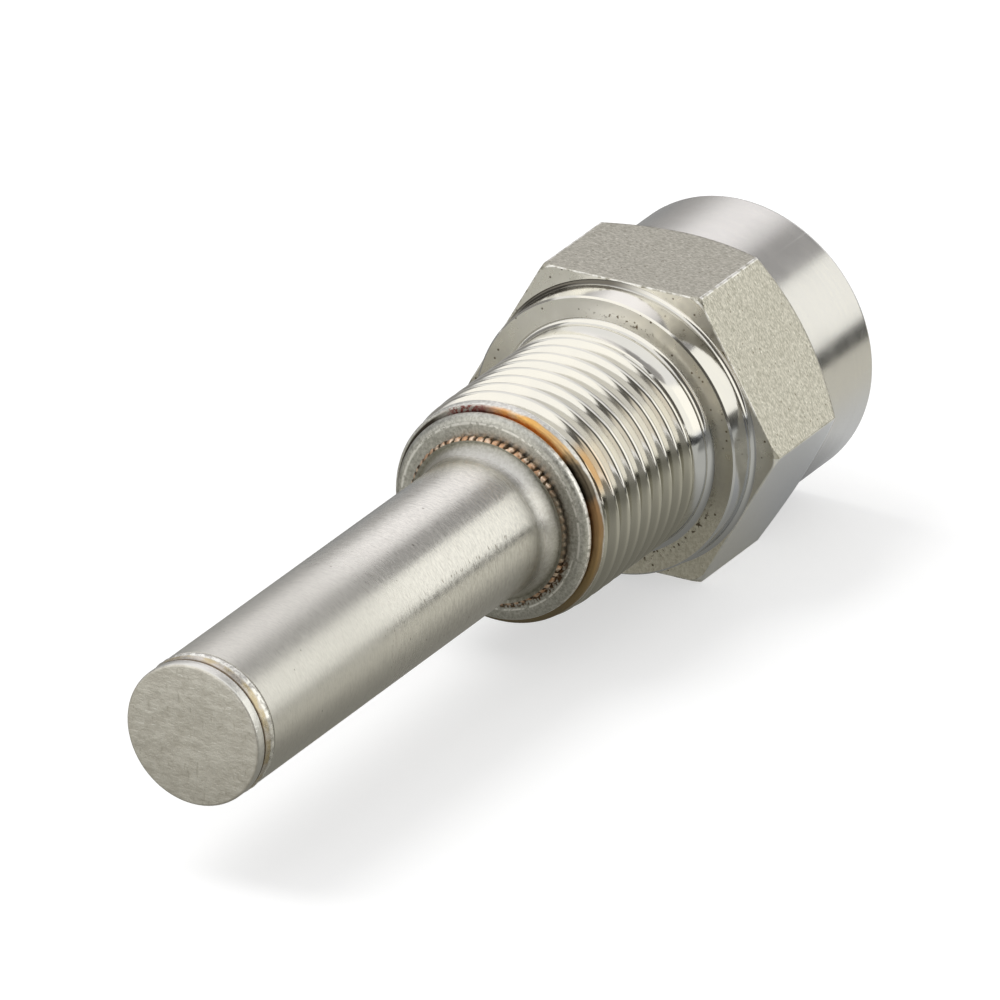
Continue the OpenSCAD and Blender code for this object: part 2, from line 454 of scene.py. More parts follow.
def make_tube(materials):
    """The stem's tube, open at the rear, with the plug's seat in front."""
    surface = Surface(even_angles(COLUMNS))
    seat_end = plug_high.x
    surface.turned(
        [
            (TUBE_FRONT_X, SPIGOT_SEAT_R),
            (TUBE_FRONT_X, STEM_R - WELD_SEAM),
            (TUBE_FRONT_X + 0.5 * WELD_SEAM, STEM_R),
            (root_low.x, STEM_R),
            (NOSE_X, STEM_R),
            (TUBE_REAR_X, STEM_R),
            (TUBE_REAR_X, BORE_R),
            (seat_end, BORE_R),
            (seat_end, SPIGOT_SEAT_R),
            (TUBE_FRONT_X, SPIGOT_SEAT_R),
        ],
        "tube",
    )
    return surface.build("stem", materials)


def make_plug(materials):
    """The end plug: its plate, the neck under the weld and the spigot in the tube."""
    surface = Surface(even_angles(COLUMNS))
    plate = [(TIP_X, 0), (TIP_X, PLUG_INNER_R), (TIP_X, STEM_R - PLUG_EDGE)]
    surface.turned(plate, "plug")
    surface.turned(
        arc(TIP_X + PLUG_EDGE, STEM_R - PLUG_EDGE, PLUG_EDGE, 180, 90, 5)
        + arc(TIP_WELD_X - WELD_SEAM, STEM_R - WELD_SEAM, WELD_SEAM, 90, 0, 3)
        + [
            (TIP_WELD_X, NECK_R),
            (TUBE_FRONT_X, NECK_R),
            (TUBE_FRONT_X, SPIGOT_R),
            (plug_high.x, SPIGOT_R),
            (plug_high.x, 0),
        ],
        "plug",
    )
    return surface.build("end_plug", materials)


# ---------------------------------------------------------------- welds

def ripple(angles, count, lean=0.0):
    """Height from 0 to 1 of overlapping weld scales round the axis."""
    saw = (count * (angles / TAU + 0.5) - lean) % 1.0
    rise = np.sin(saw / RIPPLE_PEAK * math.pi / 2)
    return np.where(saw < RIPPLE_PEAK, rise, (1 - saw) / (1 - RIPPLE_PEAK))


def make_root_weld(materials):
    """A hollow flank on the stem, and a round bead of overlapping scales at the collar."""
    angles = even_angles(RIPPLES * RIPPLE_COLUMNS)
    front_x = root_low.x
    bead_x = NOSE_X - BEAD_ROUND
    run, rise = bead_x - front_x, BEAD_R - STEM_R
    flank_r = (run * run + rise * rise) / (2 * rise)
    swing = math.degrees(math.asin(run / flank_r))
    flank = arc(front_x, STEM_R + flank_r, flank_r, 270, 270 + swing, 10)
    bead = arc(bead_x, BEAD_R, BEAD_ROUND, 160, 10, 12)
    rows = [(x, r) for x, r in flank[:-1]]
    for step, (x, r) in enumerate(bead):
        across = step / (len(bead) - 1)
        weight = math.sin(math.pi * min(across / 0.9, 1)) ** 0.7
        lift = RIPPLE_DEPTH * weight * (ripple(angles, RIPPLES, RIPPLE_LEAN * across) - 1)
        out_x, out_r = (x - bead_x) / BEAD_ROUND, (r - BEAD_R) / BEAD_ROUND
        rows.append((x + lift * out_x, r + lift * out_r))
    rows += [(NOSE_X, BEAD_R), (NOSE_X, STEM_R), (front_x, STEM_R)]
    surface = Surface(angles)
    surface.rows(rows, "root_weld")
    return surface.build("weld_root", materials, sharp_degrees=60)


def make_tip_weld(materials):
    """A slightly hollow band between plug and tube, with a rippled bead along its rear."""
    angles = even_angles(TIP_RIPPLES * RIPPLE_COLUMNS)
    x0, x1 = TIP_WELD_X, TUBE_FRONT_X
    crown = tip_weld_high.z - STEM_R
    width = x1 - x0
    scales = TIP_RIPPLE_DEPTH * (ripple(angles, TIP_RIPPLES) - 1)
    rows = [(x0, NECK_R), (x0, STEM_R - WELD_SEAM)]
    for share in np.linspace(0.05, 0.95, 16):
        bead = math.exp(-(((share - TIP_BEAD_SHARE) / TIP_BEAD_WIDTH) ** 2))
        hollow = -TIP_HOLLOW * math.sin(math.pi * min(share / TIP_HOLLOW_SHARE, 1))
        rows.append((x0 + width * share, STEM_R + hollow + crown * bead + scales * (0.3 + bead)))
    rows += [(x1, STEM_R - WELD_SEAM), (x1, NECK_R), (x0, NECK_R)]
    surface = Surface(angles)
    surface.rows(rows, "tip_weld")
    return surface.build("weld_tip", materials, sharp_degrees=60)


# ---------------------------------------------------------------- node tools

class Nodes:
    """The node tree of a material or world, emptied, with short calls for its nodes."""

    def __init__(self, owner):
        owner.use_nodes = True
        self.tree = owner.node_tree
        self.tree.nodes.clear()

    def put(self, value, socket):
        """Links a node's output to a socket, or sets a plain value or colour on it."""
        if isinstance(value, bpy.types.NodeSocket):
            self.tree.links.new(value, socket)
        elif socket.type == "RGBA":
            socket.default_value = (*value, 1)
        else:
            socket.default_value = value

    def new(self, kind, inputs, **settings):
        """A node with its settings, and with a value or a link for each input named."""
        node = self.tree.nodes.new("ShaderNode" + kind)
        for name, value in settings.items():
            setattr(node, name, value)
        for key, value in inputs.items():
            self.put(value, node.inputs[key])
        return node

    def math(self, operation, first, second=0.0, clamp=False):
        node = self.new("Math", {0: first, 1: second}, operation=operation, use_clamp=clamp)
        return node.outputs[0]

    def plus(self, first, second):
        return self.math("ADD", first, second)

    def minus(self, first, second, clamp=False):
        return self.math("SUBTRACT", first, second, clamp)

    def times(self, first, *others):
        for other in others:
            first = self.math("MULTIPLY", first, other)
        return first

    def either(self, first, *others):
        """The largest of the values."""
        for other in others:
            first = self.math("MAXIMUM", first, other)
        return first

    def ramp(self, value, low, high, out_low=0.0, out_high=1.0):
        """Maps value from low..high to out_low..out_high, clamped and smooth."""
        inputs = {"Value": value, "From Min": low, "From Max": high}
        inputs |= {"To Min": out_low, "To Max": out_high}
        return self.new("MapRange", inputs, interpolation_type="SMOOTHSTEP").outputs[0]

    def band(self, value, low, high, soft):
        """1 where value lies between low and high, with soft edges."""
        rise = self.ramp(value, low - soft, low + soft)
        return self.times(rise, self.ramp(value, high - soft, high + soft, 1.0, 0.0))

    def mix(self, factor, first, second):
        """The colour first where factor is 0, and second where it is 1."""
        inputs = {"Factor": factor, "A": first, "B": second}
        return self.new("Mix", inputs, data_type="RGBA").outputs["Result"]

    def fade(self, value, low, high, first, second):
        """The colour first where value is at low, and second where it is at high."""
        return self.mix(self.ramp(value, low, high), first, second)

    def paint(self, base, color, *factors):
        """base with color laid over it, as strongly as the product of the factors."""
        return self.mix(self.times(*factors), base, color)


class Shader(Nodes):
    """A metal whose finish follows from the place on the object."""

    def __init__(self, name, color, roughness, anisotropic=0.0):
        self.material = bpy.data.materials.new(name)
        super().__init__(self.material)
        inputs = {"Base Color": color, "Roughness": roughness, "Metallic": 1.0}
        inputs["Anisotropic"] = anisotropic
        self.principled = self.new("BsdfPrincipled", inputs)
        self.new("OutputMaterial", {"Surface": self.principled.outputs["BSDF"]})
        place = self.new("TexCoord", {}).outputs["Object"]
        in_mm = self.new("VectorMath", {0: place, "Scale": 1 / MM}, operation="SCALE")
        self.place = in_mm.outputs["Vector"]

    def axes(self):
        """x, y and z in millimetres."""
        return tuple(self.new("SeparateXYZ", {0: self.place}).outputs)

    def turn(self):
        """Angle about the axis as a share of a turn: 0 at -Y, 0.25 at -Z, 0.5 at +Y."""
        _, y, z = self.axes()
        return self.plus(self.times(self.math("ARCTAN2", z, y), 1 / TAU), 0.5)

    def radius(self):
        """Distance from the axis in millimetres."""
        _, y, z = self.axes()
        return self.math("SQRT", self.plus(self.times(y, y), self.times(z, z)))

    def stretched(self, stretch):
        inputs = {0: self.place, 1: stretch}
        return self.new("VectorMath", inputs, operation="MULTIPLY").outputs["Vector"]

    def noise(self, stretch=(1, 1, 1), scale=1.0, detail=2.0, roughness=0.5):
        """Noise over the place in millimetres, times stretch."""
        inputs = {"Vector": self.stretched(stretch), "Scale": scale}
        inputs |= {"Detail": detail, "Roughness": roughness}
        return self.new("TexNoise", inputs).outputs["Fac"]

    def cells(self, scale, stretch=(1, 1, 1)):
        """Distance to the nearest point of a random scatter."""
        inputs = {"Vector": self.stretched(stretch), "Scale": scale}
        return self.new("TexVoronoi", inputs).outputs["Distance"]

    def colors(self, factor, stops):
        """A colour ramp from stops (place, colour)."""
        node = self.new("ValToRGB", {0: factor})
        elements = node.color_ramp.elements
        for element, (place, color) in zip(list(elements), (stops[0], stops[-1])):
            element.position = place
            element.color = (*color, 1)
        for place, color in stops[1:-1]:
            elements.new(place).color = (*color, 1)
        return node.outputs["Color"]

    def color(self, value):
        self.put(value, self.principled.inputs["Base Color"])

    def rough(self, value):
        self.put(value, self.principled.inputs["Roughness"])

    def bump(self, height, distance):
        """Bump whose height of 1 stands distance millimetres proud."""
        inputs = {"Strength": 1.0, "Distance": distance * MM, "Height": height}
        bumped = self.new("Bump", inputs).outputs["Normal"]
        self.put(bumped, self.principled.inputs["Normal"])

    def around_axis(self):
        """Stretches highlights along the axis, as fine turning marks do."""
        tangent = self.new("Tangent", {}, direction_type="RADIAL", axis="X")
        self.put(tangent.outputs[0], self.principled.inputs["Tangent"])
        self.put(0.25, self.principled.inputs["Anisotropic Rotation"])


# ---------------------------------------------------------------- materials
# Finishes that change with the angle round the axis are fixed to the object.

STEEL = (0.74, 0.725, 0.68)
WARM_STEEL = (0.70, 0.675, 0.60)
COOL_STEEL = (0.68, 0.665, 0.655)
MILL_STEEL = (0.51, 0.495, 0.455)
# Colour of the painted shadow in the flange's fillet
FILLET_SHADE = (0.07, 0.06, 0.045)

# Heat tint by share of a turn, from the near side down, round and over the top; its darkest stops,
# on the far side and on the upper near side, are painted shade
HEAT_TINT_AND_SHADE = [
    (0.00, (0.42, 0.27, 0.135)),
    (0.05, (0.36, 0.25, 0.12)),
    (0.15, (0.26, 0.21, 0.13)),
    (0.58, (0.05, 0.04, 0.035)),
    (0.68, (0.12, 0.05, 0.05)),
    (0.725, (0.30, 0.10, 0.08)),
    (0.75, (0.72, 0.32, 0.08)),
    (0.80, (0.88, 0.52, 0.17)),
    (0.87, (0.84, 0.58, 0.30)),
    (0.895, (0.17, 0.14, 0.10)),
    (0.935, (0.12, 0.10, 0.07)),
    (0.96, (0.36, 0.21, 0.10)),
    (1.00, (0.42, 0.27, 0.135)),
]


def thread_steel():
    """Bright turned steel with fine lines round it. The thread's first flanks are straw
    tinted. Painted shade darkens the lower side, bluish from the shank on, apart from a
    lighter line along the crest tops, and painted shadow darkens the fillet behind the
    flange on its upper far side. The shank swells softly towards the flange."""
    shader = Shader("turned_bright", STEEL, 0.14)
    x, _, _ = shader.axes()
    turn, radius = shader.turn(), shader.radius()
    lines = shader.noise(stretch=(9, 0.05, 0.05), detail=3)
    smear = shader.noise(stretch=(0.5, 0.25, 0.25), detail=3)
    base = shader.fade(smear, 0.35, 0.7, STEEL, (0.78, 0.76, 0.70))

    straw = shader.ramp(x, THREAD_FRONT_X + 0.8, THREAD_FRONT_X + 2.8, 0.8, 0.0)
    base = shader.paint(base, (0.70, 0.52, 0.31), straw, shader.band(turn, 0.874, 0.944, 0.02))

    # Painted shade: the lower side is darker and, from the shank on, bluish; the crest tops keep a
    # lighter line.
    crest = shader.ramp(radius, THREAD_R - 0.05, THREAD_R - 0.02)
    crest = shader.times(crest, shader.band(turn, 0.6, 0.98, 0.015))
    dull = shader.mix(crest, (0.49, 0.48, 0.425), (0.78, 0.77, 0.72))
    dull = shader.fade(x, SHANK_X, SHANK_X + 0.1, dull, (0.60, 0.615, 0.64))
    lower = shader.either(shader.ramp(turn, 0.948, 0.962), shader.ramp(turn, 0.36, 0.3))
    base = shader.mix(lower, base, dull)

    # Painted shadow in the fillet behind the flange, on its upper far side.
    fillet_shade = shader.ramp(x, FLANGE_T - 0.4, FLANGE_T - 0.15)
    shader.color(shader.paint(base, FILLET_SHADE, fillet_shade, shader.band(turn, 0.6, 0.765, 0.03), 0.9))
    shader.rough(shader.ramp(smear, 0.3, 0.75, 0.08, 0.16))

    along = shader.math("MINIMUM", shader.either(shader.minus(x, SHANK_X), 0.0), SWELL_LEN)
    swell = shader.times(along, shader.plus(shader.times(along, SWELL_CURVE), SWELL_SLOPE))
    shader.bump(shader.plus(shader.times(lines, 0.003), swell), 1.0)
    return shader.material


def face_steel():
    """Turned face: warm and soft with a few dark pits, a painted highlight that makes one
    upper sector paler, grainier below, and with dark spots on the flange."""
    shader = Shader("turned_face", WARM_STEEL, 0.3)
    x, _, _ = shader.axes()
    turn, radius = shader.turn(), shader.radius()
    pits = shader.ramp(shader.cells(1.1), 0.07, 0.16, 1.0, 0.0)
    cloud = shader.noise(scale=0.8, detail=4)
    base = shader.fade(cloud, 0.35, 0.7, WARM_STEEL, (0.62, 0.60, 0.54))

    below = shader.band(turn, 0.06, 0.3, 0.04)
    grain = shader.noise(scale=3, detail=4, roughness=0.7)
    grainy = shader.fade(grain, 0.35, 0.65, (0.70, 0.67, 0.56), (0.92, 0.89, 0.78))
    base = shader.mix(below, base, grainy)
    # Painted highlight: one upper sector is paler.
    pale = shader.band(turn, 0.6, 0.79, 0.06)
    base = shader.paint(base, (0.98, 0.97, 0.92), pale, 0.8)

    inner = shader.times(below, shader.ramp(radius, 11.4, 11.9, 1.0, 0.1))
    row = shader.times(shader.band(turn, 0.74, 0.82, 0.03), shader.band(radius, 11.3, 11.8, 0.15))
    on_flange = shader.ramp(x, HEX_FRONT_X - 1, HEX_FRONT_X, 1.0, 0.0)
    spots = shader.ramp(shader.noise(scale=2.6, detail=3), 0.56, 0.62)
    dark = shader.either(pits, shader.times(shader.either(inner, row), on_flange, spots))
    shader.color(shader.mix(dark, base, (0.16, 0.13, 0.09)))
    shader.rough(shader.ramp(cloud, 0.3, 0.7, 0.26, 0.4))
    shader.bump(shader.minus(1.0, pits), 0.008)
    return shader.material


def hexagon_steel():
    """Drawn bar's flats: mill finish with short lines across the bar, pits and bright specks,
    and bright edges, worn and with painted highlights. Painted light makes the lower near
    flat paler and smoother, and painted shade makes the top one a fifth darker."""
    shader = Shader("hexagon_flats", MILL_STEEL, 0.36)
    x, _, _ = shader.axes()
    turn, radius = shader.turn(), shader.radius()
    grain = shader.noise(stretch=(2.2, 0.8, 0.8), scale=3.4, detail=5, roughness=0.75)
    specks = shader.ramp(shader.cells(2.6, (1.3, 0.7, 0.7)), 0.06, 0.22, 1.0, 0.0)
    pits = shader.ramp(shader.cells(1.5, (1.2, 0.7, 0.7)), 0.06, 0.14, 1.0, 0.0)
    base = shader.fade(grain, 0.36, 0.64, (0.36, 0.345, 0.28), (0.71, 0.685, 0.60))
    base = shader.paint(base, (0.95, 0.93, 0.86), specks, 0.8)
    base = shader.mix(pits, base, (0.20, 0.17, 0.12))

    # Painted light: the lower near flat is paler and smoother.
    plain = shader.band(turn, 0.0, 1 / 6, 0.002)
    base = shader.paint(base, (0.86, 0.87, 0.88), plain, 0.85)
    # Painted shade: the top flat is a fifth darker.
    upper = shader.band(turn, 4 / 6, 5 / 6, 0.002)
    base = shader.paint(base, (0.02, 0.015, 0.02), upper, 0.2)

    # Bright edges: wear, with painted highlights, broken and fainter beside the near corner.
    corners = shader.ramp(radius, HEX_CORNER_R - 0.1, HEX_CORNER_R - 0.08)
    front = shader.ramp(x, HEX_FRONT_X + 0.06, HEX_FRONT_X + 0.1, 1.0, 0.0)
    broken = shader.ramp(shader.noise(scale=1.5, detail=4), 0.35, 0.6)
    faint = shader.ramp(turn, 0.97, 0.95, 0.25, 1.0)
    worn = shader.times(shader.either(corners, front), broken, faint)
    shader.color(shader.mix(worn, base, (0.90, 0.89, 0.85)))
    shader.rough(shader.ramp(grain, 0.3, 0.7, 0.3, 0.44))
    shader.bump(grain, 0.016)
    return shader.material


def sleeve_steel():
    """Finely turned sleeve: highlights stretch along the axis."""
    shader = Shader("sleeve_turned", STEEL, 0.26, anisotropic=0.7)
    lines = shader.noise(stretch=(7, 0.04, 0.04), detail=4)
    cloud = shader.noise(stretch=(0.6, 0.3, 0.3), detail=3)
    grain = shader.noise(stretch=(2, 1, 1), scale=3.5, detail=3, roughness=0.7)
    base = shader.fade(lines, 0.35, 0.65, (0.715, 0.70, 0.67), STEEL)
    shader.color(shader.fade(grain, 0.35, 0.65, (0.70, 0.69, 0.665), base))
    shader.rough(shader.ramp(cloud, 0.3, 0.7, 0.21, 0.25))
    shader.bump(lines, 0.0015)
    shader.around_axis()
    return shader.material


def nose_steel():
    """Collar and ring beside the root weld: straw to blue-black heat tint round the groove,
    darkened by painted shade in places, red blots and painted shade at the ring's front
    edge, a scorched zone low on the collar's face, and painted highlights as bright
    broken lines on the collar."""
    shader = Shader("nose_tinted", (0.60, 0.59, 0.55), 0.38)
    x, y, z = shader.axes()
    turn, radius = shader.turn(), shader.radius()
    grain = shader.noise(scale=3.4, detail=5, roughness=0.75)
    wander = shader.minus(shader.noise(scale=0.5, detail=4), 0.5)
    collar = shader.fade(grain, 0.34, 0.66, (0.40, 0.395, 0.355), (0.66, 0.655, 0.61))
    ring = shader.fade(grain, 0.34, 0.66, (0.62, 0.61, 0.57), (0.94, 0.93, 0.89))
    base = shader.fade(x, RING_FRONT_X, RING_FRONT_X + 0.05, collar, ring)

    # The tint reaches farther back on the lower near side.
    # The tint table also paints shade in its darkest stops.
    tint = shader.colors(shader.plus(turn, shader.times(wander, 0.06)), HEAT_TINT_AND_SHADE)
    lean = shader.plus(shader.times(y, TINT_LEAN[0]), shader.times(z, TINT_LEAN[1]))
    reach = shader.plus(shader.minus(x, lean), shader.times(wander, 0.7))
    behind = shader.ramp(x, COLLAR_REAR_X - 0.06, COLLAR_REAR_X - 0.01)
    ahead = shader.either(
        shader.ramp(reach, TINT_REAR_X - 0.12, TINT_REAR_X + 0.16, 1.0, 0.0),
        shader.ramp(x, RING_FRONT_X - 0.06, RING_FRONT_X - 0.02, 1.0, 0.0),
    )
    base = shader.paint(base, tint, behind, ahead)

    edge = shader.band(x, RING_FRONT_X - 0.3, RING_FRONT_X + 0.08, 0.06)
    blots = shader.times(shader.band(turn, 0.665, 0.735, 0.02), shader.ramp(grain, 0.44, 0.54))
    base = shader.paint(base, (0.22, 0.07, 0.06), blots, edge)
    # Painted shade in the groove on the far side, over the ring's front edge.
    groove_shade = shader.times(shader.band(turn, 0.5, 0.655, 0.02), shader.ramp(radius, 9.92, 9.8))
    base = shader.paint(base, (0.06, 0.05, 0.04), groove_shade, edge)

    below = shader.band(turn, 0.04, 0.3, 0.025)
    front = shader.ramp(x, NOSE_X + 0.02, NOSE_X + 0.08, 1.0, 0.0)
    spots = shader.ramp(shader.noise(scale=2.4, detail=4), 0.4, 0.52)
    scorch = shader.times(below, front, shader.ramp(radius, 8.25, 8.1), spots)
    base = shader.mix(scorch, base, (0.13, 0.085, 0.05))

    # Painted highlights: bright broken lines round the collar's face, on its rear edge and round
    # the scorched zone
    on_face = shader.ramp(x, NOSE_X + 0.5, NOSE_X + 0.6, 1.0, 0.0)
    face_glint = shader.times(
        shader.band(radius, FACE_GLINT_R - 0.1, FACE_GLINT_R + 0.1, 0.07),
        shader.minus(on_face, below, clamp=True),
    )
    rear_glint = shader.times(
        shader.band(x, COLLAR_REAR_X - 0.42, COLLAR_REAR_X, 0.05),
        shader.either(shader.ramp(turn, 0.84, 0.87), shader.ramp(turn, 0.25, 0.22)),
    )
    rim = shader.times(shader.band(radius, 8.3, 8.46, 0.04), below, front)
    dashes = shader.ramp(shader.noise(scale=2.2, detail=3), 0.38, 0.5)
    lines = shader.either(face_glint, rear_glint, rim)
    shader.color(shader.paint(base, (0.97, 0.96, 0.92), dashes, lines))
    shader.rough(shader.ramp(grain, 0.3, 0.7, 0.3, 0.48))
    shader.bump(grain, 0.03)
    return shader.material


def bore_steel():
    """Bored steel with lines round the axis."""
    shader = Shader("bored_steel", (0.58, 0.57, 0.54), 0.35)
    lines = shader.noise(stretch=(6, 0.1, 0.1), detail=3)
    shader.color(shader.fade(lines, 0.3, 0.7, (0.5, 0.49, 0.46), (0.62, 0.61, 0.58)))
    shader.bump(lines, 0.006)
    return shader.material


def tube_steel():
    """Satin tube, duller towards the tip, with short strokes across the axis, a few small
    dark flecks, and near the body dark strokes along one side: marks, with painted shade
    that breaks the edge of a reflection."""
    shader = Shader("tube_satin", COOL_STEEL, 0.36)
    x, _, _ = shader.axes()
    strokes = shader.noise(stretch=(2.2, 0.55, 0.55), scale=1.6, detail=5, roughness=0.7)
    fine = shader.noise(stretch=(5, 1.3, 1.3), scale=1.5, detail=4, roughness=0.7)
    base = shader.fade(strokes, 0.3, 0.7, (0.60, 0.583, 0.54), (0.725, 0.713, 0.668))
    base = shader.fade(fine, 0.35, 0.65, base, (0.785, 0.768, 0.712))
    dull = shader.ramp(x, -38, -54)
    base = shader.paint(base, (0.54, 0.53, 0.488), dull, 0.4)

    # Dark strokes along one side near the body: marks, with painted shade along the edge of a
    # reflection.
    flecks = shader.ramp(shader.noise(stretch=(5, 1.3, 1.3), scale=1.1, detail=3), 0.58, 0.66)
    side = shader.band(shader.turn(), 0.926, 0.948, 0.008)
    flecks = shader.times(flecks, side, shader.band(x, -43, -26, 3.0))
    few = shader.ramp(shader.cells(0.5, (1.2, 0.8, 0.8)), 0.03, 0.06, 1.0, 0.0)
    shader.color(shader.paint(base, (0.20, 0.18, 0.14), shader.either(flecks, few), 0.8))
    smooth = shader.ramp(strokes, 0.3, 0.7, 0.19, 0.27)
    shader.rough(shader.plus(smooth, shader.times(dull, 0.12)))
    shader.bump(shader.plus(shader.times(fine, 0.7), strokes), 0.012)
    return shader.material


def plug_steel():
    """Dull end plate with faint dents, blotches and scratches, and a brighter turned rim."""
    shader = Shader("plug_dull", (0.62, 0.60, 0.55), 0.46)
    x, _, _ = shader.axes()
    dents = shader.noise(stretch=(1, 0.7, 1.3), scale=1.0, detail=6, roughness=0.7)
    fine = shader.noise(scale=6, detail=3, roughness=0.7)
    nicks = shader.ramp(shader.noise(stretch=(1, 0.5, 3.0), scale=1.4, detail=3), 0.66, 0.72)
    cuts = shader.ramp(shader.noise(stretch=(1, 2.6, 0.6), scale=1.3, detail=3), 0.63, 0.7)
    plate = shader.fade(dents, 0.34, 0.66, (0.64, 0.615, 0.555), (0.78, 0.76, 0.70))
    plate = shader.fade(fine, 0.6, 0.78, plate, (0.84, 0.82, 0.77))
    plate = shader.paint(plate, (0.95, 0.94, 0.89), nicks, 0.8)
    plate = shader.paint(plate, (0.40, 0.38, 0.32), cuts, 0.35)
    shader.color(shader.fade(x, TIP_X + 0.04, TIP_X + 0.16, plate, (0.80, 0.79, 0.75)))
    shader.rough(shader.ramp(x, TIP_X + 0.04, TIP_X + 0.16, 0.46, 0.28))
    shader.bump(shader.plus(dents, shader.times(fine, 0.12)), 0.09)
    return shader.material


def root_weld_metal():
    """Root weld: grey hollow flank, and a fine chain of copper scales with dark notches
    outside, which has burnt patches and is darkened by painted shade on the near side."""
    shader = Shader("weld_scaled", (0.6, 0.55, 0.5), 0.36)
    turn, radius = shader.turn(), shader.radius()
    grain = shader.noise(scale=3.0, detail=5, roughness=0.75)
    patches = shader.noise(scale=1.3, detail=3)
    satin = shader.fade(grain, 0.32, 0.68, (0.56, 0.545, 0.51), (0.68, 0.67, 0.64))
    dull = shader.fade(grain, 0.32, 0.68, (0.40, 0.39, 0.335), (0.58, 0.57, 0.52))
    flank = shader.fade(radius, STEM_R + 0.08, STEM_R + 0.8, satin, dull)

    jitter = shader.times(shader.noise(scale=0.9, detail=2), 1.4)
    scale = shader.math("FRACT", shader.plus(shader.times(turn, RIPPLES), jitter))
    notch = shader.band(scale, 0.66, 1.1, 0.12)
    outside = shader.ramp(radius, BEAD_R + 0.08, BEAD_R + 0.18)
    bead = shader.fade(patches, 0.4, 0.6, (0.58, 0.35, 0.21), (0.88, 0.71, 0.56))
    bead = shader.mix(notch, bead, (0.26, 0.17, 0.11))
    bead = shader.paint(bead, (0.07, 0.045, 0.025), outside, notch)
    bead = shader.fade(patches, 0.58, 0.7, bead, (0.10, 0.075, 0.045))
    # Painted shade: the chain is dark on the near side.
    near_side_shade = shader.either(shader.ramp(turn, 0.888, 0.915), shader.ramp(turn, 0.06, 0.03))
    bead = shader.paint(bead, (0.17, 0.15, 0.115), near_side_shade, 0.85)
    shader.color(shader.fade(radius, BEAD_R + 0.08, BEAD_R + 0.15, flank, bead))
    shader.rough(shader.ramp(radius, STEM_R, STEM_R + 0.5, 0.25, 0.4))
    shader.bump(grain, 0.02)
    return shader.material


def tip_weld_metal():
    """Tip weld: dark seam, pale straw band and a painted highlight broken along the bead's edge."""
    shader = Shader("weld_straw", (0.7, 0.62, 0.48), 0.3)
    x, _, _ = shader.axes()
    patches = shader.noise(scale=0.8, detail=3)
    grain = shader.noise(scale=4, detail=4)
    dashes = shader.ramp(shader.noise(scale=2.2, detail=3), 0.4, 0.52)
    straw = shader.fade(patches, 0.38, 0.6, (0.60, 0.51, 0.34), (0.63, 0.59, 0.53))
    base = shader.fade(x, TIP_WELD_X + 0.1, TIP_WELD_X + 0.32, (0.17, 0.13, 0.09), straw)
    base = shader.fade(x, TIP_WELD_X + 0.85, TIP_WELD_X + 1.05, base, (0.60, 0.585, 0.55))
    # Painted highlight: a bright broken band along the bead's edge.
    edge = shader.band(x, TIP_WELD_X + 0.95, TIP_WELD_X + 1.45, 0.1)
    shader.color(shader.paint(base, (0.93, 0.92, 0.87), edge, dashes))
    shader.rough(shader.ramp(grain, 0.3, 0.7, 0.24, 0.38))
    shader.bump(grain, 0.015)
    return shader.material


# ---------------------------------------------------------------- stage

CENTRE = (cad_bounds[0] + cad_bounds[1]) / 2
FLOOR_HALF = 4.0
FLOOR_GREY = (0.55, 0.55, 0.55)
FLOOR_LIFT = 0.52
WORLD_LIGHT = 0.75
BENCH_COLOR = (1.0, 0.975, 0.87)
BENCH_COOL = (0.97, 0.985, 1.0)
BENCH_LEVEL = 0.24
BENCH_MOST = 0.65


def direction(azimuth, elevation):
    """Unit vector; azimuth in degrees from +X towards +Y, elevation above the floor."""
    a, e = math.radians(azimuth), math.radians(elevation)
    return Vector((math.cos(e) * math.cos(a), math.cos(e) * math.sin(a), math.sin(e)))


class Glow(Nodes):
    """A material that only glows."""

    def __init__(self, name, level, color):
        self.material = bpy.data.materials.new(name)
        super().__init__(self.material)
        self.light = self.new("Emission", {"Color": color, "Strength": level})
        self.output = self.new("OutputMaterial", {"Surface": self.light.outputs[0]})

    def soften(self, half_w, half_h, soft):
        """Fades a card out towards its edges; soft is a share of its half size."""
        place = self.new("TexCoord", {}).outputs["Object"]
        parts = self.new("SeparateXYZ", {0: place}).outputs
        fades = [
            self.ramp(self.math("ABSOLUTE", part), half, half * (1 - soft))
            for part, half in zip(parts, (half_w, half_h))
        ]
        clear = self.new("BsdfTransparent", {}).outputs[0]
        mixed = self.new("MixShader", {0: self.times(*fades), 1: clear, 2: self.light.outputs[0]})
        self.put(mixed.outputs[0], self.output.inputs["Surface"])


def rectangle(half_w, half_h, z):
    """Corners of a level rectangle about the origin."""
    return [(x * half_w, y * half_h, z) for x, y in ((-1, -1), (1, -1), (1, 1), (-1, 1))]


def flat_plane(name, corners, material):
    """A stage object of one face; corners in metres."""
    mesh = bpy.data.meshes.new(name)
    mesh.from_pydata(corners, [], [(0, 1, 2, 3)])
    mesh.materials.append(material)
    plane = bpy.data.objects.new(name, mesh)
    bpy.context.scene.collection.objects.link(plane)
    return plane


def reflected_plane(name, corners, material):
    """A stage object that only reflections see."""
    plane = flat_plane(name, corners, material)
    plane.visible_camera = False
    plane.visible_diffuse = False
    plane.visible_transmission = False
    plane.visible_shadow = False
    return plane


